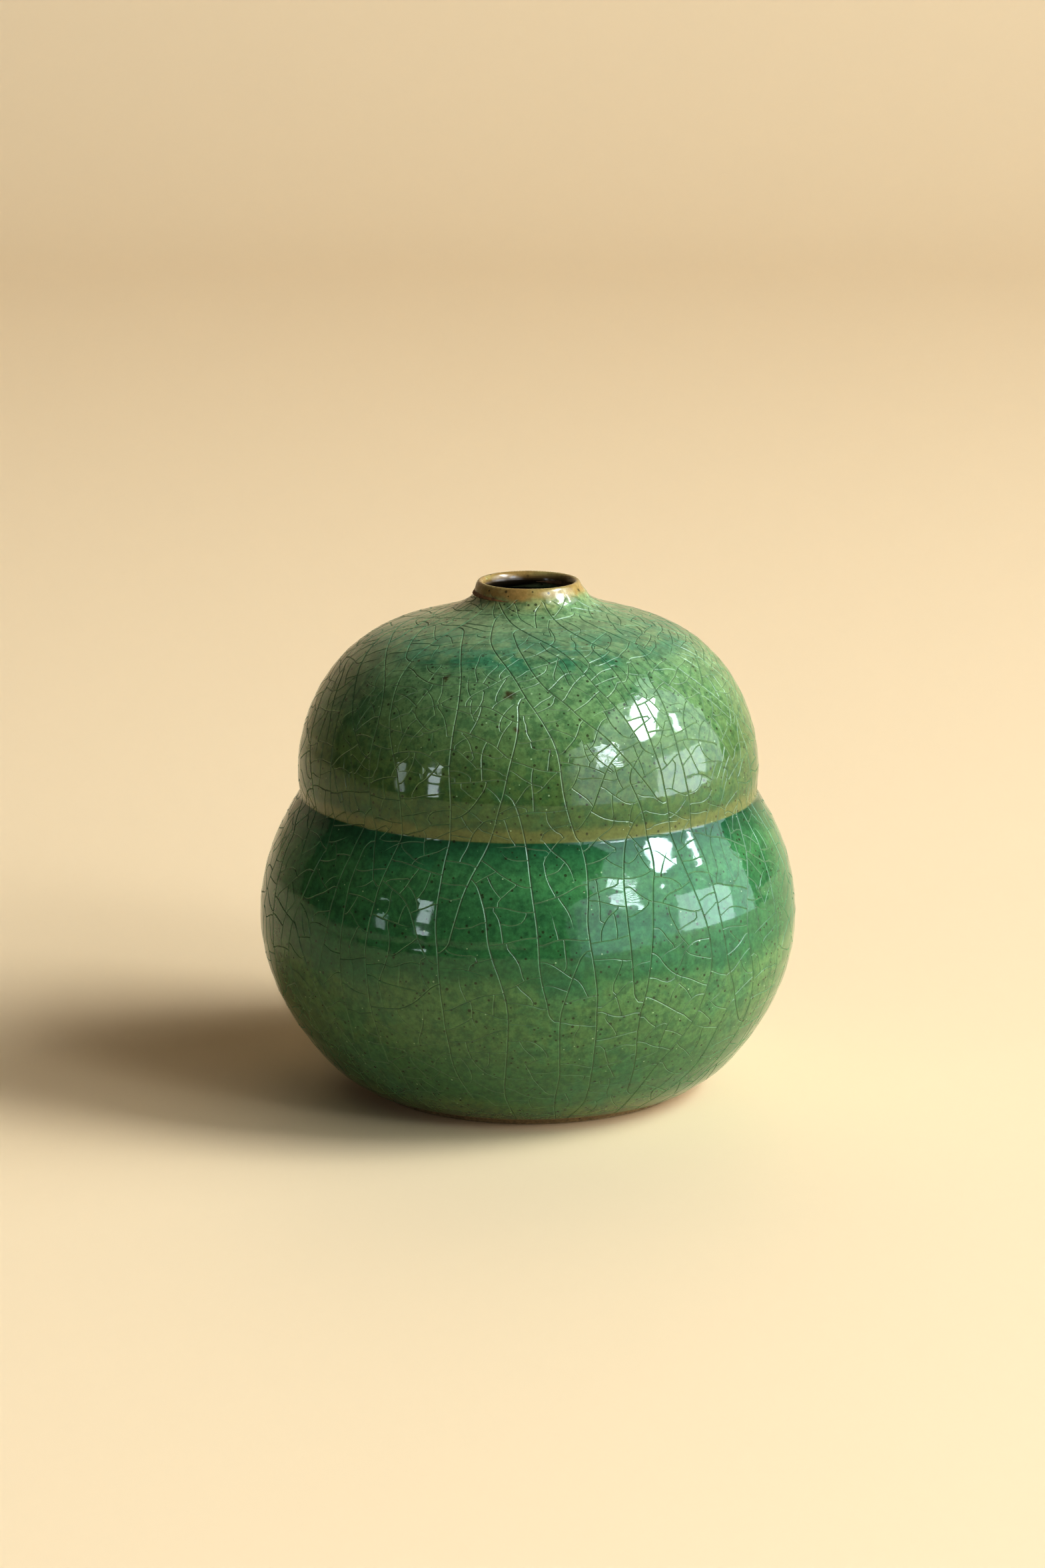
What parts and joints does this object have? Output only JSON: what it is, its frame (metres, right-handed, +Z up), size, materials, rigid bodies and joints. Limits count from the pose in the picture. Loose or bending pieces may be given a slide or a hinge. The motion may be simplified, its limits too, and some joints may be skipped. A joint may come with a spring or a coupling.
{
  "type": "bud vase",
  "caption": "Small double-gourd ceramic bud vase with crackle glaze, a narrow round mouth and a trimmed foot ring.",
  "frame": {"origin": "centre of the foot ring, on the surface that the vase stands on", "axes": "+Z up along the vase's axis, through the mouth; X and Y are equal because the vase is turned"},
  "size_m": [0.095, 0.095, 0.0905],
  "materials": {
    "bare_stoneware": "unglazed fired stoneware, matt, fine sandy grain",
    "slip": "fired joining slip, matt",
    "lip_stoneware": "thinly glazed tan rim with iron specks, satin",
    "green_glaze_lower": "deep green crackle glaze with iron specks, high gloss",
    "green_glaze_upper": "olive to teal green crackle glaze with iron specks, high gloss",
    "liner_glaze": "thin poured green glaze, glossy"
  },
  "bodies": {
    "root": {"lower_bowl": "bare_stoneware", "seam_slip": "slip", "upper_dome": "lip_stoneware", "outer_glaze_lower": "green_glaze_lower", "outer_glaze_upper": "green_glaze_upper", "liner_glaze": "liner_glaze"}
  },
  "joints": []
}
